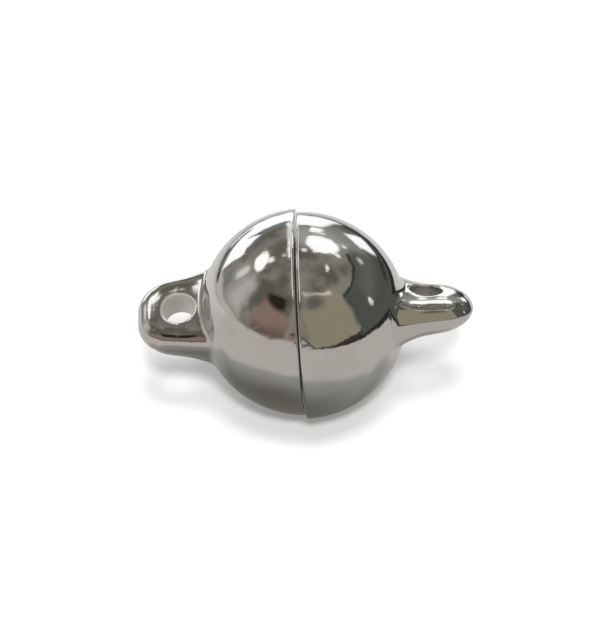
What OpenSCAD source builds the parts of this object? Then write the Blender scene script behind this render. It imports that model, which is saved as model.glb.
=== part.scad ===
// Ball-shaped magnetic clasp for a necklace or bracelet
// Two cast half balls, each with a cord lug at its pole and a disc magnet glued into its rim face
// The clasp lies closed on its side: its axis is level along X and the seam is at X zero

/* [Ball] */
// Diameter of the closed ball
ball_d = 10; // [9.4:0.1:14]
// Depth of the straight band turned round both rims, on which the closed clasp lies
band_depth = 0.1; // [0.04:0.02:0.3]
// How far the left half stops short of a full half ball
left_trim = 0.2; // [0:0.05:0.5]
// How far the right half stops short of a full half ball
right_trim = 0.05; // [0:0.05:0.5]
// Radius of the rounded outer edge of each rim
rim_round = 0.2; // [0.1:0.05:0.4]
// Gap between the two rims when the clasp is closed
seam_gap = 0.06; // [0.04:0.02:0.2]
// How far in front of the left half's axis the right half has snapped on
seat_offset = 0.28; // [0:0.02:0.5]

/* [Lugs] */
// How far the left lug reaches beyond its half ball
left_reach = 3; // [2.7:0.05:5]
// How far the right lug reaches beyond its half ball
right_reach = 3.25; // [2.7:0.05:5]
// Width of the left lug near its tip
left_tip_w = 3.45; // [3:0.05:3.8]
// Width of the right lug near its tip
right_tip_w = 3.25; // [3:0.05:3.8]
// Width of a lug at its root, inside the ball
lug_root_w = 4.3; // [3.8:0.05:5]
// Thickness of a lug near its tip
lug_tip_t = 1.8; // [1.4:0.05:2]
// Thickness of a lug at its root, inside the ball
lug_root_t = 2.2; // [2:0.05:2.8]
// How far the two tip corners are pulled in beyond their round edge
lug_corner = 0.3; // [0.1:0.05:0.5]
// How wide the left lug flares where it meets the ball
left_flare = 0.25; // [0.1:0.05:0.5]
// How wide the right lug flares where it meets the ball
right_flare = 0.35; // [0.1:0.05:0.5]
// Turn of the left lug's hole about the clasp's axis, from upright towards the front
left_turn = 25; // [-90:1:90]
// Turn of the right lug's hole about the clasp's axis, from upright towards the front
right_turn = -17; // [-90:1:90]

/* [Cord holes] */
// Diameter of the hole through each lug
hole_d = 1.5; // [1:0.05:1.7]
// Distance from the ball's pole to the middle of the hole
hole_out = 1; // [0.95:0.05:1.3]
// Width of the chamfer at both mouths of the hole
hole_chamfer = 0.12; // [0.05:0.01:0.2]

/* [Magnets] */
// Diameter of each disc magnet
magnet_d = 7; // [5:0.1:7.6]
// Thickness of each disc magnet
magnet_t = 2.5; // [1.5:0.1:2.8]
// How far each magnet's face lies below the rim
magnet_recess = 0.1; // [0.05:0.05:0.3]
// Glue line round each magnet
glue_gap = 0.05; // [0.03:0.01:0.1]
// Room left behind the left magnet
left_room = 0.05; // [0.03:0.01:0.5]
// Room left behind the right magnet
right_room = 0.35; // [0.03:0.01:0.5]
// Width of the chamfer round both faces of a magnet
magnet_chamfer = 0.15; // [0.05:0.05:0.3]

/* [Hidden] */

ball_r = ball_d / 2;
band_r = ball_r - band_depth;
// Depth of the lug's root section below the pole, which keeps the whole section inside the ball
root_sink = 1.3;
// Depth of the flare's wide end below the pole, where the ball still covers it
flare_sink = 0.6;
// Length by which a cut runs past the face it opens
over = 0.5;
// Thickness of the slices that a hull joins
slice = 0.01;
// Sides of the round children of a hull
hull_sides = 32;
// Sides of the true round faces
round_sides = 96;

plating = [0.79, 0.78, 0.76];
nickel = [0.6, 0.6, 0.58];

// Distance from the rim of a half to the middle of its lug's tip round
function tip_z(pole, reach) = pole + reach - lug_tip_t / 2;

// Value of a lug size at height z, which runs evenly from its root value to its tip value
function along_lug(z, pole, reach, root, tip) =
    let (low = pole - root_sink, high = tip_z(pole, reach) - lug_corner)
    root + (tip - root) * (z - low) / (high - low);

// Half ball's profile: x is the distance from the axis, y the height over the rim
module half_ball_profile(trim) {
    intersection() {
        translate([0, -trim]) circle(r = ball_r, $fn = round_sides);
        union() {
            square([band_r - rim_round, ball_r]);
            translate([0, rim_round]) square([band_r, ball_r]);
            translate([band_r - rim_round, rim_round]) circle(r = rim_round, $fn = round_sides);
        }
    }
}

// Tapered tongue with full-round edges: spheres at its root and round its two tip corners
module lug_tongue(pole, reach, tip_w) {
    root_r = lug_root_t / 2;
    tip_r = lug_tip_t / 2;
    corner_x = tip_w / 2 - tip_r - lug_corner;
    corner_z = tip_z(pole, reach) - lug_corner;
    hull() for (side = [-1, 1]) {
        translate([side * (lug_root_w / 2 - root_r), 0, pole - root_sink])
            sphere(r = root_r, $fn = hull_sides);
        for (turn = [0 : 30 : 90]) {
            x = corner_x + lug_corner * cos(turn);
            z = corner_z + lug_corner * sin(turn);
            translate([side * x, 0, z]) sphere(r = tip_r, $fn = hull_sides);
        }
    }
}

// Flare of the casting where the tongue leaves the ball
module lug_flare(pole, reach, tip_w, flare) {
    ends = [[pole + flare, 0], [pole - flare_sink, flare]];
    hull() for (side = [-1, 1], end = ends) {
        half_w = along_lug(end[0], pole, reach, lug_root_w, tip_w) / 2;
        half_t = along_lug(end[0], pole, reach, lug_root_t, lug_tip_t) / 2;
        translate([side * (half_w - half_t), 0, end[0]])
            cylinder(r = half_t + end[1], h = slice, $fn = hull_sides);
    }
}

// Cord hole through the lug, with a chamfer at each mouth
module cord_hole(pole, reach) {
    hole_z = pole + hole_out;
    hole_r = hole_d / 2;
    half_t = along_lug(hole_z, pole, reach, lug_root_t, lug_tip_t) / 2;
    flare_out = hole_chamfer + over;
    translate([0, 0, hole_z]) {
        rotate([90, 0, 0])
            cylinder(r = hole_r, h = lug_root_t + 2 * over, center = true, $fn = round_sides);
        for (face = [-90, 90])
            rotate([face, 0, 0]) translate([0, 0, half_t - hole_chamfer])
                cylinder(r1 = hole_r, r2 = hole_r + flare_out, h = flare_out, $fn = round_sides);
    }
}

// Seat of the magnet, sunk into the rim face
module magnet_seat(room) {
    depth = magnet_recess + magnet_t + room;
    translate([0, 0, -over])
        cylinder(d = magnet_d + 2 * glue_gap, h = depth + over, $fn = round_sides);
}

// One half: cast half ball and lug, standing on its rim with the pole up and the hole along Y
module shell(trim, reach, tip_w, flare, room) {
    pole = ball_r - trim;
    color(plating) difference() {
        union() {
            rotate_extrude($fn = round_sides) half_ball_profile(trim);
            lug_tongue(pole, reach, tip_w);
            lug_flare(pole, reach, tip_w, flare);
        }
        cord_hole(pole, reach);
        magnet_seat(room);
    }
}

// Disc magnet in its seat
module magnet() {
    rim_r = magnet_d / 2;
    low = magnet_recess;
    high = magnet_recess + magnet_t;
    color(nickel) rotate_extrude($fn = round_sides) polygon([
        [0, low],
        [rim_r - magnet_chamfer, low],
        [rim_r, low + magnet_chamfer],
        [rim_r, high - magnet_chamfer],
        [rim_r - magnet_chamfer, high],
        [0, high],
    ]);
}

// Lays a standing half on its side, at the left or the right of the seam
module place_left() {
    translate([-seam_gap / 2, 0, band_r])
        rotate([90 + left_turn, 0, 0]) rotate([0, -90, 0]) children();
}

module place_right() {
    translate([seam_gap / 2, -seat_offset, band_r])
        rotate([90 + right_turn, 0, 0]) rotate([0, 90, 0]) children();
}

module left_shell() {
    place_left() shell(left_trim, left_reach, left_tip_w, left_flare, left_room);
}

module right_shell() {
    place_right() shell(right_trim, right_reach, right_tip_w, right_flare, right_room);
}

module left_magnet() {
    place_left() magnet();
}

module right_magnet() {
    place_right() magnet();
}

left_shell();
right_shell();
left_magnet();
right_magnet();
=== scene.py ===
"""Looks of a ball-shaped magnetic clasp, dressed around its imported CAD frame."""

from __future__ import annotations

import logging
import math
from collections.abc import Mapping, Sequence
from dataclasses import dataclass
from enum import Enum

import bpy
from mathutils import Matrix, Vector

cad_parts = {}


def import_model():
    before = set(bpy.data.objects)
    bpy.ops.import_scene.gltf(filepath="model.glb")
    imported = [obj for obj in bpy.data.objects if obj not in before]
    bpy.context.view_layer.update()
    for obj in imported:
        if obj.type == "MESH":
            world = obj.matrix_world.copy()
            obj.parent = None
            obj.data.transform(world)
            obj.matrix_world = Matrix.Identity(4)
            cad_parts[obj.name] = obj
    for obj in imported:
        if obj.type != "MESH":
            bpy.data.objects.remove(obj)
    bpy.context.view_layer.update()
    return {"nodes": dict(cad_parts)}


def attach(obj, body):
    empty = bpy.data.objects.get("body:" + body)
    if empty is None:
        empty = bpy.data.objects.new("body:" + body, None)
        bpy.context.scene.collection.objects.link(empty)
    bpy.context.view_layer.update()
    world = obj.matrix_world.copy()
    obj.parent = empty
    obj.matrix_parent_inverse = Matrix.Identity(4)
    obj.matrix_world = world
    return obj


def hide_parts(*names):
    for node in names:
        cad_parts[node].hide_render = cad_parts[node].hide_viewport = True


log = logging.getLogger("clasp")

MM = 0.001
# Degrees in one radian
DEGREES = math.degrees(1)
BORE_MARK = "bore_wall"
# Times that a casting's mesh is moved onto its surface
SETTLE_PASSES = 3
# Distance from the surface in millimetres, past which a casting's volume holds one value
FIELD_LIMIT = 0.5
# How far a taper of the lug runs on, as a share of its length
TAPER_LIMIT = 1.2
# Share of each colour's light that the plating sends back
MIRROR_SHARE = (0.62, 0.615, 0.6)

Triple = tuple[float, float, float]
Colour = tuple[float, float, float]
Tone = tuple[float, float, float, float]
Span = tuple[float, float]


class Side(Enum):
    """Which end of the clasp a half belongs to, as the sign of its pole along X."""

    LEFT = -1
    RIGHT = 1


class PanelShape(Enum):
    """Outline of a soft panel in the mirrored room.

    A card is a rectangle and a spot an oval, both laid by azimuth and elevation. A strip is a rectangle
    overhead, laid by how far the direction slants to the right and to the front.
    """

    CARD = "card"
    SPOT = "spot"
    STRIP = "strip"


# Node building


@dataclass(frozen=True)
class Waves:
    """Pattern of a noise: waves per unit of length, number of finer octaves, and the seed that picks it."""

    scale: float
    detail: float
    seed: float = 0.0


class Num:
    """A float socket of a node tree that takes part in Python arithmetic."""

    def __init__(self, graph: Graph, socket: bpy.types.NodeSocket) -> None:
        """Wraps one output socket.

        Args:
            graph: Graph that owns the socket and adds the Math nodes.
            socket: The output socket.
        """
        self.graph = graph
        self.socket = socket

    def math(self, operation: str, *operands: Num | float) -> Num:
        """Adds one Math node fed by this value and the operands.

        Args:
            operation: The Math node's operation.
            operands: Its further inputs.

        Returns:
            The node's result.
        """
        return self.graph.math(operation, self, *operands)

    def __add__(self, other: Num | float) -> Num:
        """Sum."""
        return self.math("ADD", other)

    def __radd__(self, other: float) -> Num:
        """Sum with a number on the left."""
        return self.graph.math("ADD", other, self)

    def __sub__(self, other: Num | float) -> Num:
        """Difference."""
        return self.math("SUBTRACT", other)

    def __rsub__(self, other: float) -> Num:
        """Difference from a number."""
        return self.graph.math("SUBTRACT", other, self)

    def __mul__(self, other: Num | float) -> Num:
        """Product."""
        return self.math("MULTIPLY", other)

    def __truediv__(self, other: Num | float) -> Num:
        """Quotient."""
        return self.math("DIVIDE", other)

    def __neg__(self) -> Num:
        """Negative."""
        return self.math("MULTIPLY", -1.0)

    def __abs__(self) -> Num:
        """Absolute value."""
        return self.math("ABSOLUTE")

    def hypot(self, other: Num | float) -> Num:
        """Length of the two values taken as a right triangle's legs."""
        return (self * self + other * other).math("SQRT")

    def at_least(self, low: Num | float) -> Num:
        """Larger of the two values."""
        return self.math("MAXIMUM", low)

    def at_most(self, high: Num | float) -> Num:
        """Smaller of the two values."""
        return self.math("MINIMUM", high)

    def union_round(self, other: Num, radius: Num | float) -> Num:
        """Distance to two joined solids with a hollow fillet between them.

        Args:
            other: Distance to the other solid.
            radius: Radius of the fillet.

        Returns:
            The joined distance.
        """
        outer = self.at_most(other).at_least(radius)
        return outer - (radius - self).at_least(0.0).hypot((radius - other).at_least(0.0))

    def meet_round(self, other: Num, radius: Num | float) -> Num:
        """Distance to what two solids share, with a rounded edge between them.

        Args:
            other: Distance to the other solid.
            radius: Radius of the rounding.

        Returns:
            The shared distance.
        """
        inner = self.at_least(other).at_most(0.0 - radius)
        return inner + (self + radius).at_least(0.0).hypot((other + radius).at_least(0.0))


class Graph:
    """Adds nodes and links to one node tree."""

    def __init__(self, tree: bpy.types.NodeTree) -> None:
        """Starts on a tree.

        Args:
            tree: The tree that gets the nodes.
        """
        self.tree = tree

    def node(
        self,
        kind: str,
        settings: Mapping[str, object] | None = None,
        sockets: Mapping[str | int, object] | None = None,
    ) -> bpy.types.Node:
        """Adds one node.

        Args:
            kind: The node's type.
            settings: Its own settings, set first.
            sockets: Values or links of its inputs, by name or number.

        Returns:
            The node.
        """
        made = self.tree.nodes.new(kind)
        for name, value in (settings or {}).items():
            setattr(made, name, value)
        for key, value in (sockets or {}).items():
            self.feed(made.inputs[key], value)
        return made

    def feed(self, socket: bpy.types.NodeSocket, value: object) -> None:
        """Gives an input socket a value or a link.

        Args:
            socket: The input socket.
            value: A number, colour, output socket or wrapped socket.
        """
        if isinstance(value, Num):
            self.tree.links.new(value.socket, socket)
        elif isinstance(value, bpy.types.NodeSocket):
            self.tree.links.new(value, socket)
        else:
            socket.default_value = value

    def math(self, operation: str, *operands: Num | float) -> Num:
        """Adds one Math node.

        Args:
            operation: The node's operation.
            operands: Its inputs in order.

        Returns:
            The node's result.
        """
        made = self.node("ShaderNodeMath", {"operation": operation}, dict(enumerate(operands)))
        return Num(self, made.outputs[0])

    def axes(self, vector: bpy.types.NodeSocket) -> tuple[Num, Num, Num]:
        """Splits a vector.

        Args:
            vector: The vector socket.

        Returns:
            Its X, Y and Z.
        """
        split = self.node("ShaderNodeSeparateXYZ", None, {0: vector})
        return Num(self, split.outputs[0]), Num(self, split.outputs[1]), Num(self, split.outputs[2])

    def blend(self, factor: Num, low: object, high: object) -> bpy.types.NodeSocket:
        """Mixes two colours.

        Args:
            factor: Share of the high colour.
            low: Colour or socket at factor 0.
            high: Colour or socket at factor 1.

        Returns:
            The mixed colour's socket.
        """
        mix = self.node("ShaderNodeMix", {"data_type": "RGBA"}, {0: factor, 6: low, 7: high})
        return mix.outputs[2]

    def noise(self, vector: object, waves: Waves, seed: Num | None = None) -> Num:
        """Adds a seeded noise.

        Args:
            vector: Coordinates that it reads.
            waves: Its pattern.
            seed: Seed from a socket, in place of the pattern's own.

        Returns:
            The noise, about 0 to 1.
        """
        picked = waves.seed if seed is None else seed
        sockets = {"Vector": vector, "Scale": waves.scale, "Detail": waves.detail, "W": picked}
        made = self.node("ShaderNodeTexNoise", {"noise_dimensions": "4D"}, sockets)
        return Num(self, made.outputs[0])

    def step(self, value: Num, start: float, end: float) -> Num:
        """Smooth step from 0 at start to 1 at end.

        Args:
            value: The value that drives the step.
            start: Value at which it leaves 0.
            end: Value at which it reaches 1.

        Returns:
            The step.
        """
        settings = {"interpolation_type": "SMOOTHSTEP", "clamp": True}
        made = self.node("ShaderNodeMapRange", settings, {0: value, 1: start, 2: end})
        return Num(self, made.outputs[0])

    def scaled(self, vector: bpy.types.NodeSocket, factor: Num | float) -> bpy.types.NodeSocket:
        """Scales a vector.

        Args:
            vector: The vector's socket.
            factor: What it is multiplied by.

        Returns:
            The scaled vector's socket.
        """
        sockets = {0: vector, "Scale": factor}
        return self.node("ShaderNodeVectorMath", {"operation": "SCALE"}, sockets).outputs[0]

    def object_place(self) -> bpy.types.NodeSocket:
        """Object coordinates in metres."""
        return self.node("ShaderNodeTexCoord").outputs["Object"]

    def emission(self, colour: object, strength: float = 1.0) -> bpy.types.NodeSocket:
        """Adds a shader that glows.

        Args:
            colour: Its colour or the colour's socket.
            strength: Its strength.

        Returns:
            The shader's socket.
        """
        sockets = {"Color": colour, "Strength": strength}
        return self.node("ShaderNodeEmission", None, sockets).outputs[0]

    def metal(
        self, tint: bpy.types.NodeSocket, metallic: Num | float, roughness: Num, height_mm: Num
    ) -> bpy.types.NodeSocket:
        """Adds a metal shader with a fine relief.

        Args:
            tint: The colour's socket.
            metallic: Share of bare metal.
            roughness: Its roughness.
            height_mm: Height of the relief in millimetres.

        Returns:
            The shader's socket.
        """
        bump = self.node("ShaderNodeBump", None, {"Strength": 1.0, "Distance": MM, "Height": height_mm})
        sockets = {
            "Base Color": tint,
            "Metallic": metallic,
            "Roughness": roughness,
            "Normal": bump.outputs[0],
        }
        return self.node("ShaderNodeBsdfPrincipled", None, sockets).outputs[0]

    def surface(self, shader: bpy.types.NodeSocket) -> None:
        """Ends a material's tree.

        Args:
            shader: The shader's socket.
        """
        self.node("ShaderNodeOutputMaterial", None, {0: shader})


def rgba(colour: Colour) -> Tone:
    """Colour with full alpha."""
    return (*colour, 1.0)


def linear(level: float) -> float:
    """Linear light of a screen level from 0 to 255."""
    share = level / 255.0
    return share / 12.92 if share <= 0.04045 else ((share + 0.055) / 1.055) ** 2.4


def mirrored(level: Colour) -> Tone:
    """Light that the plating turns into a screen level.

    Args:
        level: Screen level seen in the plating, 0 to 255 each.

    Returns:
        The light's linear colour with full alpha.
    """
    return rgba(tuple(linear(part) / share for part, share in zip(level, MIRROR_SHARE)))


def blank_material(name: str) -> tuple[bpy.types.Material, Graph]:
    """Makes a material whose tree is still empty.

    Args:
        name: Its name.

    Returns:
        The material and its tree's graph.
    """
    made = bpy.data.materials.new(name)
    made.use_nodes = True
    made.node_tree.nodes.clear()
    return made, Graph(made.node_tree)


# Finishes


@dataclass(frozen=True)
class PlatedFinish:
    """Bright plating over a hand-polished casting, with a faint relief in millimetres."""

    name: str
    tint: Colour
    worn_tint: Colour
    roughness: float
    haze: float
    ripple_mm: float
    speck_mm: float
    scratch_mm: float
    bore_roughness: float
    bore_tint: Colour
    bore_dullness: float
    clouds: Waves = Waves(0.45, 3.0, 4.0)
    worn_span: Span = (0.35, 0.75)
    haze_start: float = 0.4
    ripples: Waves = Waves(1.7, 3.0, 2.0)
    specks: Waves = Waves(6.5, 2.0, 13.0)
    pits: Waves = Waves(3.2, 1.0, 9.0)
    pit_span: Span = (0.7, 0.78)
    pit_haze: float = 0.8
    pit_depth: float = 2.5
    scratches: Waves = Waves(1.0, 2.0, 6.0)
    scratch_span: Span = (0.58, 0.72)
    scratch_haze: float = 0.4
    scratch_turn: Triple = (0.5, 0.3, 0.4)
    scratch_stretch: Triple = (0.35, 14.0, 2.0)

    def material(self) -> bpy.types.Material:
        """Builds the plating's material.

        Returns:
            The material, which reads Object coordinates and the mark of the cord hole's wall.
        """
        made, graph = blank_material(self.name)
        in_mm = graph.scaled(graph.object_place(), 1 / MM)
        cloud = graph.noise(in_mm, self.clouds)
        ripple = graph.noise(in_mm, self.ripples) - 0.5
        speck = graph.noise(in_mm, self.specks) - 0.5
        pit = graph.step(graph.noise(in_mm, self.pits), *self.pit_span)
        scratch = self.scratched(graph, in_mm)
        mark = graph.node("ShaderNodeAttribute", {"attribute_name": BORE_MARK})
        wall = Num(graph, mark.outputs["Fac"])
        hazy = (cloud - self.haze_start).at_least(0.0) + scratch * self.scratch_haze + pit * self.pit_haze
        rough = self.roughness + hazy * self.haze + wall * self.bore_roughness
        tint = graph.blend(graph.step(cloud, *self.worn_span), rgba(self.tint), rgba(self.worn_tint))
        tint = graph.blend(wall, tint, rgba(self.bore_tint))
        height = ripple * self.ripple_mm + speck * self.speck_mm
        height = height + (scratch - pit * self.pit_depth) * self.scratch_mm
        graph.surface(graph.metal(tint, 1.0 - wall * self.bore_dullness, rough, height))
        return made

    def scratched(self, graph: Graph, in_mm: bpy.types.NodeSocket) -> Num:
        """Fine lines left by the polishing wheel.

        Args:
            graph: The material's graph.
            in_mm: Object coordinates in millimetres.

        Returns:
            The lines, about 0 to 1.
        """
        sockets = {"Vector": in_mm, "Rotation": self.scratch_turn, "Scale": self.scratch_stretch}
        turned = graph.node("ShaderNodeMapping", None, sockets).outputs[0]
        return graph.step(graph.noise(turned, self.scratches), *self.scratch_span)


@dataclass(frozen=True)
class MagnetFinish:
    """Nickel skin of a pressed magnet disc, finely ground on its faces."""

    name: str
    tint: Colour
    roughness: float
    grain_mm: float
    grain: Waves = Waves(1.0, 3.0, 3.0)
    grain_stretch: Triple = (1.0, 0.8, 16.0)
    clouds: Waves = Waves(0.9, 2.0, 8.0)
    cloud_span: Span = (0.35, 0.7)
    cloud_haze: float = 0.12
    dark_share: float = 0.78

    def material(self) -> bpy.types.Material:
        """Builds the nickel's material.

        Returns:
            The material, which reads Object coordinates.
        """
        made, graph = blank_material(self.name)
        in_mm = graph.scaled(graph.object_place(), 1 / MM)
        sockets = {"Vector": in_mm, "Scale": self.grain_stretch}
        ground = graph.node("ShaderNodeMapping", None, sockets).outputs[0]
        lines = graph.noise(ground, self.grain)
        cloud = graph.noise(in_mm, self.clouds)
        dark = tuple(self.dark_share * part for part in self.tint)
        tint = graph.blend(graph.step(cloud, *self.cloud_span), rgba(self.tint), rgba(dark))
        rough = self.roughness + cloud * self.cloud_haze
        graph.surface(graph.metal(tint, 1.0, rough, lines * self.grain_mm))
        return made


# The clasp


@dataclass(frozen=True)
class CastSizes:
    """Sizes in millimetres that both cast halves share."""

    ball_d: float = 10.0
    band_d: float = 9.8
    rim_round: float = 0.05
    ease_round: float = 0.5
    ease_depth: float = 0.36
    root_w: float = 4.45
    root_t: float = 2.3
    tip_t: float = 1.9
    corner: float = 1.4
    crown: float = 0.1
    tip_crown: float = 0.3
    tip_length: float = 1.9
    flare_from: float = 1.0
    flare_length: float = 1.5
    root_sink: float = 1.3
    hole_d: float = 1.5
    hole_out: float = 0.94
    mouth_round: float = 0.12
    seat_d: float = 7.1
    seat_round: float = 0.08
    waves: float = 0.008
    swell: Waves = Waves(0.42, 1.5)
    bore_edge: Span = (0.1, 0.03)
    voxel: float = 0.066
    margin: float = 0.25

    @property
    def ball_r(self) -> float:
        """Radius of the ball."""
        return self.ball_d / 2


@dataclass
class HalfShell:
    """One cast half of the ball with its cord lug, built pole up and laid on its side.

    Its lengths are in millimetres and its turn about the clasp's axis in degrees.
    """

    name: str
    node: str
    body: str
    side: Side
    trim: float
    reach: float
    tip_w: float
    flare: float
    fillet: float
    edge_soft: float
    bore_shade: float
    seat_depth: float
    turn: float
    offset_y: float
    seed: float
    gap: float = 0.06
    sizes: CastSizes = CastSizes()

    def inputs(self) -> dict[str, float]:
        """Named inputs of the casting's tree.

        Returns:
            Each input's value, with lengths in millimetres.
        """
        own = {
            "Trim": self.trim,
            "Reach": self.reach,
            "Lug tip width": self.tip_w,
            "Flare": self.flare,
            "Fillet": self.fillet,
            "Lug edge softness": self.edge_soft,
            "Bore dullness and shade": self.bore_shade,
            "Seat depth": self.seat_depth,
            "Seed": self.seed,
        }
        cast = self.sizes
        shared = {
            "Ball diameter": cast.ball_d,
            "Band diameter": cast.band_d,
            "Rim rounding": cast.rim_round,
            "Easing radius": cast.ease_round,
            "Easing depth": cast.ease_depth,
            "Lug root width": cast.root_w,
            "Lug root thickness": cast.root_t,
            "Lug tip thickness": cast.tip_t,
            "Lug corner": cast.corner,
            "Lug crown": cast.crown,
            "Tip crown": cast.tip_crown,
            "Tip length": cast.tip_length,
            "Flare start": cast.flare_from,
            "Flare length": cast.flare_length,
            "Lug root depth": cast.root_sink,
            "Hole diameter": cast.hole_d,
            "Hole distance": cast.hole_out,
            "Mouth rounding": cast.mouth_round,
            "Seat diameter": cast.seat_d,
            "Seat rounding": cast.seat_round,
            "Casting waves": cast.waves,
        }
        return own | shared

    def tree(self, material: bpy.types.Material) -> bpy.types.NodeTree:
        """Builds the casting's Geometry Nodes tree.

        Args:
            material: The finish that the tree sets.

        Returns:
            The tree.
        """
        made = bpy.data.node_groups.new(f"{self.name}_casting", "GeometryNodeTree")
        for name in self.inputs():
            made.interface.new_socket(name, in_out="INPUT", socket_type="NodeSocketFloat")
        made.interface.new_socket("Geometry", in_out="OUTPUT", socket_type="NodeSocketGeometry")
        graph = Graph(made)
        entry = graph.node("NodeGroupInput")
        sizes = {name: Num(graph, entry.outputs[name]) for name in self.inputs()}
        distance = self.distance(graph, sizes)
        skin = self.polygonise(graph, distance)
        for _ in range(SETTLE_PASSES):
            skin = self.settle(graph, skin, distance)
        walled = self.mark_bore(graph, skin, sizes)
        smooth = graph.node("GeometryNodeSetShadeSmooth", None, {"Geometry": walled})
        real = graph.node("GeometryNodeRealizeInstances", None, {"Geometry": smooth.outputs[0]})
        sockets = {"Geometry": real.outputs[0], "Material": material}
        dressed = graph.node("GeometryNodeSetMaterial", None, sockets)
        graph.node("NodeGroupOutput", None, {"Geometry": dressed.outputs[0]})
        return made

    def distance(self, graph: Graph, sizes: Mapping[str, Num]) -> Num:
        """Signed distance to the casting's surface at each point, negative in the metal.

        Args:
            graph: The tree's graph.
            sizes: The tree's named inputs.

        Returns:
            The distance in millimetres.
        """
        place = graph.node("GeometryNodeInputPosition").outputs[0]
        x, y, z = graph.axes(place)
        off_axis = x.hypot(y)
        ball_r = sizes["Ball diameter"] * 0.5
        pole = ball_r - sizes["Trim"]
        swollen = (off_axis * 2.0 / sizes["Band diameter"]).hypot((z + sizes["Trim"]) / ball_r)
        ball = (swollen - 1.0) * ball_r
        eased = ball.meet_round(-z - sizes["Easing depth"], sizes["Easing radius"])
        half_ball = eased.meet_round(-z, sizes["Rim rounding"])
        metal = half_ball.union_round(self.tongue(sizes, x, y, z, pole), sizes["Fillet"])
        metal = metal.meet_round(-self.hole(sizes, x, z), sizes["Mouth rounding"])
        seat = (off_axis - sizes["Seat diameter"] * 0.5).at_least(z - sizes["Seat depth"])
        metal = metal.meet_round(-seat, sizes["Seat rounding"])
        # The waves only take metal away, by their own height on average
        swell = graph.noise(place, self.sizes.swell, sizes["Seed"])
        return metal + swell * 2.0 * sizes["Casting waves"]

    def hole(self, sizes: Mapping[str, Num], x: Num, z: Num) -> Num:
        """Signed distance to the cord hole, negative inside it.

        Args:
            sizes: The tree's named inputs.
            x: Coordinate across the lug.
            z: Height over the rim.

        Returns:
            The distance in millimetres.
        """
        middle = sizes["Ball diameter"] * 0.5 - sizes["Trim"] + sizes["Hole distance"]
        return x.hypot(z - middle) - sizes["Hole diameter"] * 0.5

    def tongue(self, sizes: Mapping[str, Num], x: Num, y: Num, z: Num, pole: Num) -> Num:
        """Signed distance to the lug, a tapered tongue with round edges and slightly crowned faces.

        Args:
            sizes: The tree's named inputs.
            x: Coordinate across the lug.
            y: Coordinate through the lug.
            z: Height over the rim.
            pole: Height of the ball's pole.

        Returns:
            The distance in millimetres.
        """
        low = pole - sizes["Lug root depth"]
        tip = pole + sizes["Reach"]
        along = ((z - low) / (tip - sizes["Lug corner"] - low)).at_least(0.0).at_most(TAPER_LIMIT)
        rise = (pole + sizes["Flare start"] - z) / sizes["Flare length"]
        rise = rise.at_least(0.0).at_most(TAPER_LIMIT)
        flare = rise * rise * sizes["Flare"]
        half_w = (self.tapered(sizes, "width", along) + flare) * 0.5
        half_t = self.tapered(sizes, "thickness", along) * 0.5 + flare
        outline = (abs(x) - half_w).meet_round(z - tip, sizes["Lug corner"]).at_least(low - z)
        share = x / half_w
        falling = ((z - tip) / sizes["Tip length"] + 1.0).at_least(0.0)
        face = abs(y) - half_t + share * share * sizes["Lug crown"] + falling * falling * sizes["Tip crown"]
        return face.math("SMOOTH_MAX", outline, sizes["Lug edge softness"])

    def tapered(self, sizes: Mapping[str, Num], measure: str, along: Num) -> Num:
        """A measure of the lug, which runs evenly from its root value to its tip value.

        Args:
            sizes: The tree's named inputs.
            measure: Either width or thickness.
            along: Share of the way from the root to the tip.

        Returns:
            The measure at that place.
        """
        root = sizes[f"Lug root {measure}"]
        return root + (sizes[f"Lug tip {measure}"] - root) * along

    def polygonise(self, graph: Graph, distance: Num) -> bpy.types.NodeSocket:
        """Turns the distance into a dense mesh.

        Args:
            graph: The tree's graph.
            distance: The signed distance.

        Returns:
            The mesh's socket.
        """
        cast = self.sizes
        across = cast.ball_r + cast.margin
        top = cast.ball_r - self.trim + self.reach + cast.margin
        steps = round(2 * across / cast.voxel)
        sockets = {
            "Density": (-distance).at_most(FIELD_LIMIT).at_least(-FIELD_LIMIT),
            "Background": -FIELD_LIMIT,
            "Min": (-across, -across, -cast.margin),
            "Max": (across, across, top),
            "Resolution X": steps,
            "Resolution Y": steps,
            "Resolution Z": round((top + cast.margin) / cast.voxel),
        }
        grid = graph.node("GeometryNodeVolumeCube", None, sockets)
        skin = graph.node("GeometryNodeVolumeToMesh", None, {"Volume": grid.outputs[0], "Threshold": 0.0})
        return skin.outputs[0]

    def settle(self, graph: Graph, skin: bpy.types.NodeSocket, distance: Num) -> bpy.types.NodeSocket:
        """Moves each point of the mesh along its normal onto the surface.

        Args:
            graph: The tree's graph.
            skin: The mesh's socket.
            distance: The signed distance.

        Returns:
            The moved mesh's socket.
        """
        normal = graph.node("GeometryNodeInputNormal").outputs[0]
        shift = graph.scaled(normal, -distance)
        moved = graph.node("GeometryNodeSetPosition", None, {"Geometry": skin, "Offset": shift})
        return moved.outputs[0]

    def mark_bore(
        self, graph: Graph, skin: bpy.types.NodeSocket, sizes: Mapping[str, Num]
    ) -> bpy.types.NodeSocket:
        """Marks the wall of the cord hole, which the polishing wheel doesn't reach; the mark's strength per
        half also paints shade, as a weaker mark leaves the wall more mirror-like and darker.

        Args:
            graph: The tree's graph.
            skin: The mesh's socket.
            sizes: The tree's named inputs.

        Returns:
            The mesh's socket, with the attribute named by BORE_MARK.
        """
        x, _, z = graph.axes(graph.node("GeometryNodeInputPosition").outputs[0])
        wall = graph.step(self.hole(sizes, x, z), *self.sizes.bore_edge) * sizes["Bore dullness and shade"]
        settings = {"data_type": "FLOAT", "domain": "POINT"}
        sockets = {"Geometry": skin, "Name": BORE_MARK, "Value": wall}
        return graph.node("GeometryNodeStoreNamedAttribute", settings, sockets).outputs[0]

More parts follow.
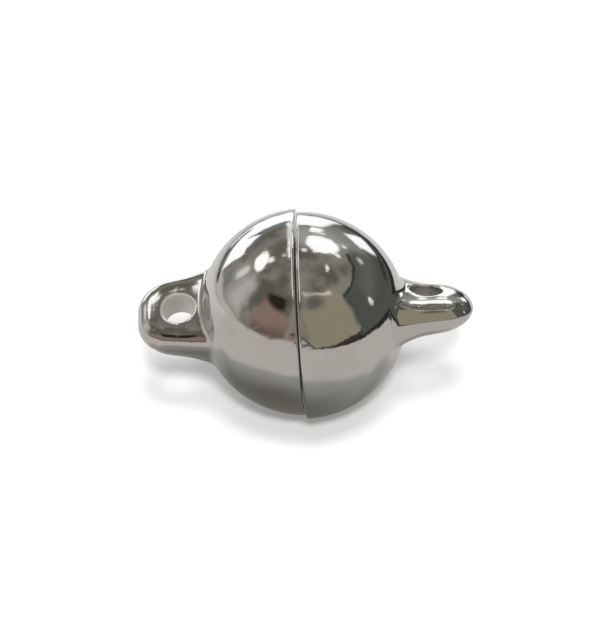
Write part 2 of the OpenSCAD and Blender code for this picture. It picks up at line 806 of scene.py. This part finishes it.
    def placement(self) -> Matrix:
        """Lays the standing half on its side in the shared frame.

        Returns:
            Matrix from the half's own millimetres to the frame's metres.
        """
        sign = self.side.value
        moved = Matrix.Translation(Vector((sign * self.gap / 2, self.offset_y, self.sizes.band_d / 2)) * MM)
        turned = Matrix.Rotation(math.radians(90 + self.turn), 4, "X")
        laid = Matrix.Rotation(math.radians(sign * 90), 4, "Y")
        return moved @ turned @ laid @ Matrix.Scale(MM, 4)

    def build(self, material: bpy.types.Material) -> bpy.types.Object:
        """Makes the piece and lets it stand for its CAD node.

        Args:
            material: Its finish.

        Returns:
            The piece.
        """
        seed_mesh = bpy.data.meshes.new(f"{self.name}_seed")
        source = bpy.data.objects.new(f"{self.name}_source", seed_mesh)
        bpy.context.scene.collection.objects.link(source)
        modifier = source.modifiers.new("Casting", "NODES")
        tree = self.tree(material)
        modifier.node_group = tree
        values = self.inputs()
        for item in tree.interface.items_tree:
            if item.in_out == "INPUT":
                modifier[item.identifier] = values[item.name]
        graph = bpy.context.evaluated_depsgraph_get()
        mesh = bpy.data.meshes.new_from_object(source.evaluated_get(graph), depsgraph=graph)
        mesh.name = self.name
        bpy.data.objects.remove(source)
        mesh.transform(self.placement())
        piece = bpy.data.objects.new(self.name, mesh)
        bpy.context.scene.collection.objects.link(piece)
        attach(piece, self.body)
        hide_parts(self.node)
        log.info("%s: %d faces", self.name, len(mesh.polygons))
        return piece


@dataclass
class DiscMagnet:
    """One disc magnet, whose CAD node keeps its place and gets its finish."""

    node: str

    def dress(self, nodes: Mapping[str, bpy.types.Object], material: bpy.types.Material) -> None:
        """Gives the CAD node the nickel finish.

        Args:
            nodes: The frame's CAD nodes by name.
            material: The nickel finish.
        """
        shown = nodes[self.node]
        shown.data.materials.clear()
        shown.data.materials.append(material)
        log.info("%s: CAD node with %d faces", self.node, len(shown.data.polygons))


# The studio


@dataclass(frozen=True)
class SoftPanel:
    """A soft patch of light or dark in the room that the plating mirrors.

    Its angles are in degrees: azimuth from the front towards the right, and elevation from the horizon. A
    strip has its slant to the right and to the front in their place.
    """

    shape: PanelShape
    azimuth: float
    elevation: float
    width: float
    height: float
    level: Colour
    soft: float = 3.0
    tilt: float = 0.0
    wobble: float = 0.0
    corner: float = 4.0

    def lay(
        self,
        graph: Graph,
        under: bpy.types.NodeSocket,
        way: tuple[Num, Num],
        shake: tuple[Num, Num],
    ) -> bpy.types.NodeSocket:
        """Lays the panel over what lies behind it.

        Args:
            graph: The world's graph.
            under: Colour of what lies behind it.
            way: The direction's two angles in degrees, of the kind that the panel's shape reads.
            shake: Two noises that make the outline uneven.

        Returns:
            The colour's socket.
        """
        across = (way[0] - self.azimuth).math("WRAP", 180.0, -180.0)
        up = way[1] - self.elevation
        if self.shape is PanelShape.SPOT:
            across = across * math.cos(math.radians(self.elevation))
        if self.wobble:
            across = across + shake[0] * self.wobble
            up = up + shake[1] * self.wobble
        if self.tilt:
            lean = math.radians(self.tilt)
            turned = across * math.cos(lean) + up * math.sin(lean)
            up = up * math.cos(lean) - across * math.sin(lean)
            across = turned
        if self.shape is PanelShape.SPOT:
            scaled = (across / (self.width / 2)).hypot(up / (self.height / 2))
            outside = (scaled - 1.0) * (min(self.width, self.height) / 2)
        else:
            past_side = abs(across) - self.width / 2
            past_end = abs(up) - self.height / 2
            outside = past_side.math("SMOOTH_MAX", past_end, self.corner)
        share = graph.step(outside, self.soft, -self.soft)
        return graph.blend(share, under, mirrored(self.level))


@dataclass(frozen=True)
class Room:
    """The room that the plating mirrors, painted by direction: a cloudy grey under soft panels."""

    panels: Sequence[SoftPanel]
    dark: Colour = (86, 83, 75)
    light: Colour = (124, 121, 112)
    clouds: Waves = Waves(2.6, 3.0, 3.0)
    cloud_span: Span = (0.36, 0.64)
    stray: Waves = Waves(5.0, 3.0, 1.0)
    drift: Waves = Waves(4.3, 3.0, 5.0)

    def build(self) -> None:
        """Paints the world."""
        world = bpy.data.worlds.new("soft_room")
        bpy.context.scene.world = world
        world.use_nodes = True
        world.cycles.sampling_method = "NONE"
        world.node_tree.nodes.clear()
        graph = Graph(world.node_tree)
        way = graph.node("ShaderNodeTexCoord").outputs["Generated"]
        x, y, z = graph.axes(way)
        turn = x.math("ARCTAN2", -y) * DEGREES
        lift = z.at_least(-1.0).at_most(1.0).math("ARCSINE") * DEGREES
        slant = (x * DEGREES, y * -DEGREES)
        shake = (graph.noise(way, self.stray) - 0.5, graph.noise(way, self.drift) - 0.5)
        shade = graph.step(graph.noise(way, self.clouds), *self.cloud_span)
        colour = graph.blend(shade, mirrored(self.dark), mirrored(self.light))
        for panel in self.panels:
            angles = slant if panel.shape is PanelShape.STRIP else (turn, lift)
            colour = panel.lay(graph, colour, angles, shake)
        back = graph.node("ShaderNodeBackground", None, {"Color": colour, "Strength": 1.0})
        graph.node("ShaderNodeOutputWorld", None, {0: back.outputs[0]})


@dataclass(frozen=True)
class Fade:
    """Screen level that the table top takes on between two places, in millimetres."""

    level: Colour
    start: float
    end: float


@dataclass(frozen=True)
class TableTop:
    """Table top as the plating mirrors it: a glowing card, pale, with a painted soft shadow of the clasp and
    a dark edge at the right.

    Its places are in millimetres. Past the dark edge and past its far end it is clear.
    """

    # Darkest tone of the painted shadow, under the middle of the clasp
    painted_shadow_core: Colour = (88, 86, 79)
    round_shadow: tuple[Fade, ...] = (Fade((134, 132, 127), 2.5, 7.6), Fade((168, 163, 157), 7.2, 10.0))
    towards_back: tuple[Fade, ...] = (Fade((186, 184, 180), -6.0, 24.0), Fade((152, 151, 148), 22.0, 70.0))
    across_edge: tuple[Fade, ...] = (Fade((40, 38, 33), -1.0, 1.0),)
    shadow_x: float = -1.9
    shadow_y: float = -2.2
    lug_squeeze_x: float = 0.85
    lug_squeeze_y: float = 2.6
    uneven: Waves = Waves(160.0, 2.0, 7.0)
    shadow_uneven: float = 2.0
    edge_uneven: float = 5.0
    edge_front_x: float = 34.0
    edge_back_x: float = 19.0
    edge_lean: float = 0.6
    edge_lean_from: float = -12.0
    edge_width: float = 13.0
    far_end: float = 90.0
    end_soft: float = 0.8

    def material(self) -> bpy.types.Material:
        """Builds the table top's material.

        Returns:
            The material, which reads Object coordinates.
        """
        made, graph = blank_material("table_tone")
        place = graph.object_place()
        x, y, _ = graph.axes(graph.scaled(place, 1 / MM))
        stray = graph.noise(place, self.uneven) - 0.5
        # Painted shadow: the glowing card darkens round the places under the ball and under the lugs
        across, ahead = x - self.shadow_x, y - self.shadow_y
        under_ball = across.hypot(ahead)
        under_lugs = (across * self.lug_squeeze_x).hypot(ahead * self.lug_squeeze_y)
        reach = under_ball.at_most(under_lugs) + stray * self.shadow_uneven
        lean = (y - self.edge_lean_from).at_least(0.0) * self.edge_lean
        edge = x - (self.edge_front_x - lean).at_least(self.edge_back_x) + stray * self.edge_uneven
        tone = mirrored(self.painted_shadow_core)
        for where, fades in ((reach, self.round_shadow), (y, self.towards_back), (edge, self.across_edge)):
            for fade in fades:
                tone = graph.blend(graph.step(where, fade.start, fade.end), tone, mirrored(fade.level))
        gone = graph.step((edge - self.edge_width).at_least(y - self.far_end), 0.0, self.end_soft)
        clear = graph.node("ShaderNodeBsdfTransparent").outputs[0]
        both = graph.node("ShaderNodeMixShader", None, {0: gone, 1: graph.emission(tone), 2: clear})
        graph.surface(both.outputs[0])
        return made


@dataclass(frozen=True)
class Stage:
    """Pale floor, the table top that only the plating sees, and a pale dome that only the camera sees.

    Its lengths are in metres, and the dome reaches down from the zenith by an angle in degrees.
    """

    floor_size: float = 3.0
    floor_paint: Colour = (0.5, 0.5, 0.5)
    floor_light: Colour = (1.0, 1.0, 1.0)
    floor_glow: float = 0.22
    table_size: float = 0.8
    table_lift: float = 0.00001
    dome_radius: float = 1.47
    dome_light: Colour = (0.97, 0.97, 0.97)
    dome_rings: int = 12
    dome_spokes: int = 48
    dome_reach: float = 92.0

    def piece(
        self,
        name: str,
        points: Sequence[Triple],
        faces: Sequence[tuple[int, ...]],
        material: bpy.types.Material,
    ) -> bpy.types.Object:
        """Makes one stage piece.

        Args:
            name: Its name.
            points: The points of its mesh.
            faces: The faces of its mesh.
            material: Its material.

        Returns:
            The stage piece.
        """
        mesh = bpy.data.meshes.new(name)
        mesh.from_pydata(points, [], faces)
        mesh.materials.append(material)
        made = bpy.data.objects.new(name, mesh)
        bpy.context.scene.collection.objects.link(made)
        return made

    def sheet(self, name: str, size: float, height: float, material: bpy.types.Material) -> bpy.types.Object:
        """Makes one flat square stage piece.

        Args:
            name: Its name.
            size: Its side.
            height: Its height.
            material: Its material.

        Returns:
            The stage piece.
        """
        half = size / 2
        corners = [(x * half, y * half, height) for x, y in ((-1, -1), (1, -1), (1, 1), (-1, 1))]
        return self.piece(name, corners, [(0, 1, 2, 3)], material)

    def floor(self) -> None:
        """Lays the pale floor, which glows a little, so that shadows on it stay light."""
        material, graph = blank_material("pale_floor")
        glow = graph.emission(rgba(self.floor_light), self.floor_glow)
        paint = graph.node("ShaderNodeBsdfDiffuse", None, {"Color": rgba(self.floor_paint)})
        both = graph.node("ShaderNodeAddShader", None, {0: glow, 1: paint.outputs[0]})
        graph.surface(both.outputs[0])
        made = self.sheet("floor", self.floor_size, 0.0, material)
        made.visible_glossy = False

    def table_top(self) -> None:
        """Lays the table top that only the plating sees."""
        made = self.sheet("table_top", self.table_size, self.table_lift, TableTop().material())
        made.visible_camera = False
        made.visible_diffuse = False
        made.visible_shadow = False

    def dome(self) -> None:
        """Closes the view over the floor with a dome that only the camera sees."""
        rings, spokes, radius = self.dome_rings, self.dome_spokes, self.dome_radius
        points = [(0.0, 0.0, radius)]
        for ring in range(1, rings + 1):
            lift = math.radians(90 - ring * self.dome_reach / rings)
            reach = radius * math.cos(lift)
            for spoke in range(spokes):
                turn = math.tau * spoke / spokes
                points.append((reach * math.cos(turn), reach * math.sin(turn), radius * math.sin(lift)))
        faces = [(0, 1 + (spoke + 1) % spokes, 1 + spoke) for spoke in range(spokes)]
        for ring in range(rings - 1):
            start = 1 + ring * spokes
            for spoke in range(spokes):
                after = (spoke + 1) % spokes
                faces.append((start + spoke, start + after, start + spokes + after, start + spokes + spoke))
        material, graph = blank_material("pale_dome")
        graph.surface(graph.emission(rgba(self.dome_light)))
        made = self.piece("dome", points, faces, material)
        made.visible_glossy = False
        made.visible_diffuse = False
        made.visible_shadow = False

    def build(self) -> None:
        """Makes the whole stage."""
        self.floor()
        self.table_top()
        self.dome()


@dataclass(frozen=True)
class Lamp:
    """Soft square lamp, in metres, that faces the clasp and isn't mirrored in the plating."""

    name: str
    watts: float
    size: float
    place: Triple

    def hang(self) -> None:
        """Hangs the lamp."""
        light = bpy.data.lights.new(self.name, "AREA")
        light.energy = self.watts
        light.size = self.size
        made = bpy.data.objects.new(self.name, light)
        made.location = self.place
        made.rotation_euler = Vector(self.place).to_track_quat("Z", "Y").to_euler()
        made.visible_glossy = False
        made.visible_camera = False
        bpy.context.scene.collection.objects.link(made)


@dataclass(frozen=True)
class PhotoCamera:
    """Camera at the photograph's angle.

    Lengths are in metres, angles in degrees, and the pixel that shows the aim counts from the top left.
    """

    distance: float = 0.15
    elevation: float = 37.0
    azimuth: float = 3.15
    roll: float = -4.7
    view_width_mm: float = 28.95
    aim: Triple = (0.0, -0.00014, 0.0049)
    aim_pixel: Span = (301.7, 313.5)
    frame_pixels: tuple[int, int] = (613, 627)
    sensor_mm: float = 36.0
    clip_span: Span = (0.01, 20.0)

    def build(self) -> None:
        """Sets the camera."""
        data = bpy.data.cameras.new("camera")
        data.sensor_fit = "HORIZONTAL"
        data.sensor_width = self.sensor_mm
        data.lens = self.sensor_mm * self.distance / (self.view_width_mm * MM)
        data.clip_start, data.clip_end = self.clip_span
        wide, tall = self.frame_pixels
        data.shift_x = (wide / 2 - self.aim_pixel[0]) / wide
        data.shift_y = (self.aim_pixel[1] - tall / 2) / wide
        made = bpy.data.objects.new("camera", data)
        turn, rise = math.radians(self.azimuth), math.radians(self.elevation)
        back = Vector((math.sin(turn) * math.cos(rise), -math.cos(turn) * math.cos(rise), math.sin(rise)))
        made.location = Vector(self.aim) + back * self.distance
        facing = back.to_track_quat("Z", "Y").to_matrix().to_4x4()
        rolled = facing @ Matrix.Rotation(math.radians(self.roll), 4, "Z")
        made.rotation_euler = rolled.to_euler()
        bpy.context.scene.collection.objects.link(made)
        bpy.context.scene.camera = made


@dataclass(frozen=True)
class Studio:
    """Mirrored room, stage, lamps and camera."""

    room: Room
    lamps: Sequence[Lamp]
    stage: Stage = Stage()
    camera: PhotoCamera = PhotoCamera()

    def build(self) -> None:
        """Makes the whole studio."""
        self.room.build()
        self.stage.build()
        for lamp in self.lamps:
            lamp.hang()
        self.camera.build()
        view = bpy.context.scene.view_settings
        view.view_transform = "Standard"
        view.look = "None"


# This clasp and its surroundings


def room_panels() -> tuple[SoftPanel, ...]:
    """Panels of the room around the clasp, each laid over the ones before it.

    Returns:
        The panels.
    """
    card, spot, strip = PanelShape.CARD, PanelShape.SPOT, PanelShape.STRIP
    return (
        SoftPanel(card, 108, -2, 96, 76, (73, 76, 71), 4.0, wobble=8.0),
        SoftPanel(card, 120, 20, 56, 18, (88, 90, 85), 8.0, wobble=10.0),
        SoftPanel(card, 152, 25, 32, 26, (126, 125, 120), 6.0, wobble=10.0),
        SoftPanel(card, 36, 18, 56, 62, (133, 127, 108), 3.0, wobble=12.0),
        SoftPanel(card, 31, 50, 46, 12, (133, 127, 108), 2.0, tilt=-15.0, wobble=9.0),
        SoftPanel(card, 32, 55, 52, 4, (190, 184, 170), 1.6, tilt=-15.0, wobble=8.0),
        SoftPanel(spot, 25, 46.5, 20, 15, (88, 86, 78), 5.0, tilt=-12.0, wobble=10.0),
        SoftPanel(card, -98, 22, 46, 36, (145, 140, 133), 8.0, wobble=14.0),
        SoftPanel(card, -89, 28, 18, 34, (170, 165, 160), 7.0, wobble=10.0),
        SoftPanel(card, -116, 12, 14, 16, (112, 114, 109), 5.0, wobble=8.0),
        SoftPanel(card, -40, 42.5, 32, 16, (36, 32, 26), 4.5, tilt=6.0, wobble=12.0),
        SoftPanel(card, -41, 22, 40, 28, (124, 106, 97), 4.0, tilt=-18.0, wobble=9.0),
        SoftPanel(card, -37, 9, 46, 12, (100, 83, 75), 6.0, wobble=8.0),
        SoftPanel(card, -14, 20, 9, 50, (126, 121, 109), 2.5, tilt=-14.0, wobble=5.0),
        SoftPanel(card, 0, -6, 29, 30, (44, 40, 34), 1.0, tilt=38.6, wobble=5.0),
        SoftPanel(card, 0, -6, 24.8, 26, (172, 167, 160), 1.0, tilt=38.6, wobble=5.0),
        SoftPanel(card, 38, -8, 56, 12, (52, 47, 40), 1.0, wobble=5.0),
        SoftPanel(card, -9, 11, 12, 3, (40, 34, 28), 1.0, wobble=3.0),
        SoftPanel(card, -9, 7, 12, 6, (128, 106, 96), 1.5, wobble=3.0),
        SoftPanel(card, -28, 3, 74, 3, (56, 45, 38), 1.5, wobble=6.0),
        SoftPanel(card, -72, -1, 124, 12, (170, 165, 158), 2.0, wobble=8.0),
        SoftPanel(card, 180, -2, 110, 5, (52, 54, 54), 1.2, wobble=4.0),
        SoftPanel(card, -160, 22, 40, 12, (104, 113, 110), 3.0, wobble=6.0),
        SoftPanel(card, -141, 14, 22, 22, (252, 252, 252), 1.2, wobble=6.0),
        SoftPanel(card, -165, 7, 32, 22, (252, 252, 252), 1.2, wobble=6.0),
        SoftPanel(card, -147, 0.5, 26, 5, (112, 113, 114), 1.0, wobble=4.0),
        SoftPanel(card, -152, 18, 2, 10, (58, 64, 62), 0.8, tilt=24.0, wobble=3.0),
        SoftPanel(card, 175, 10, 16, 25, (250, 250, 250), 1.5, wobble=4.0),
        SoftPanel(card, 149, 7.5, 14, 16, (248, 248, 248), 1.5, wobble=3.0),
        SoftPanel(strip, -9.4, -31, 2.4, 44, (250, 249, 246), 0.8, tilt=4.5, wobble=2.0),
        SoftPanel(spot, -115, 50, 21, 13, (255, 252, 248), 1.2, wobble=5.0),
        SoftPanel(spot, 163, 44, 44, 34, (150, 148, 140), 9.0, wobble=10.0),
        SoftPanel(spot, 150.5, 50, 24.5, 26, (255, 255, 255), 1.5, wobble=14.0),
        SoftPanel(card, 168, 30, 8, 10, (250, 250, 248), 1.0, wobble=2.0),
        SoftPanel(spot, -110, 31, 8, 15, (200, 197, 190), 1.8, wobble=3.0),
        SoftPanel(spot, 169, 65, 5, 4, (235, 232, 225), 1.0, wobble=4.0),
        SoftPanel(spot, 128, 47, 5, 4, (235, 232, 225), 1.0, wobble=4.0),
        SoftPanel(spot, 140, 33, 4, 4, (225, 222, 215), 1.0, wobble=4.0),
        SoftPanel(spot, 162, 33, 3, 3, (230, 226, 220), 1.0, wobble=4.0),
        SoftPanel(card, 98, 36, 66, 2.6, (38, 40, 36), 1.5, wobble=6.0),
        SoftPanel(strip, -4.8, -12, 3, 96, (252, 250, 247), 0.8, wobble=2.0),
        SoftPanel(strip, -26.5, -13, 6, 6, (238, 235, 229), 1.3, wobble=2.0),
        SoftPanel(strip, -15, -14, 4, 3, (196, 193, 186), 1.2, wobble=1.5),
        SoftPanel(spot, 100, 62, 7, 3, (240, 240, 235), 1.0, wobble=2.0),
        SoftPanel(spot, 91, 11, 5, 7, (225, 225, 225), 1.5),
        SoftPanel(spot, 125, 25, 6, 6, (190, 172, 166), 2.0),
    )


def halves() -> tuple[HalfShell, HalfShell]:
    """The two cast halves.

    Returns:
        The left and the right half.
    """
    left = HalfShell(
        name="left_half_shell",
        node="left_shell",
        body="left_half",
        side=Side.LEFT,
        trim=0.2,
        reach=2.98,
        tip_w=3.62,
        flare=0.2,
        fillet=0.12,
        edge_soft=1.25,
        bore_shade=1.0,
        seat_depth=2.65,
        turn=25.0,
        offset_y=0.0,
        seed=3.0,
    )
    right = HalfShell(
        name="right_half_shell",
        node="right_shell",
        body="right_half",
        side=Side.RIGHT,
        trim=0.05,
        reach=3.21,
        tip_w=3.42,
        flare=0.32,
        fillet=0.14,
        edge_soft=1.7,
        # Painted shade: a weak bore mark makes this half's cord hole look darker
        bore_shade=0.2,
        seat_depth=2.95,
        turn=-17.0,
        offset_y=-0.28,
        seed=11.0,
    )
    return left, right


def lamps() -> tuple[Lamp, Lamp]:
    """The studio's two lamps.

    Returns:
        One in front, whose shadow lies just below the clasp in the picture, and a softer one overhead.
    """
    return (
        Lamp("front_soft", watts=15.5, size=0.17, place=(0.1, -0.82, 0.92)),
        Lamp("overhead_soft", watts=8.8, size=0.34, place=(0.1, -0.25, 1.0)),
    )


def finishes() -> tuple[PlatedFinish, MagnetFinish]:
    """The two finishes of the clasp.

    Returns:
        The plating of the halves and the nickel of the magnets.
    """
    plating = PlatedFinish(
        name="bright_plating",
        tint=(0.63, 0.625, 0.61),
        worn_tint=(0.58, 0.575, 0.56),
        roughness=0.05,
        haze=0.12,
        ripple_mm=0.005,
        speck_mm=0.0013,
        scratch_mm=0.0005,
        bore_roughness=0.35,
        bore_tint=(0.82, 0.8, 0.77),
        bore_dullness=0.22,
    )
    nickel = MagnetFinish(name="nickel_skin", tint=(0.62, 0.6, 0.56), roughness=0.22, grain_mm=0.004)
    return plating, nickel


def main() -> None:
    """Builds the clasp and its studio."""
    logging.basicConfig(level=logging.INFO, format="%(name)s: %(message)s")
    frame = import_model()
    plating, nickel = (finish.material() for finish in finishes())
    for half in halves():
        half.build(plating)
    for node in ("left_magnet", "right_magnet"):
        DiscMagnet(node).dress(frame["nodes"], nickel)
    Studio(Room(room_panels()), lamps()).build()


if __name__ == "__main__":
    main()
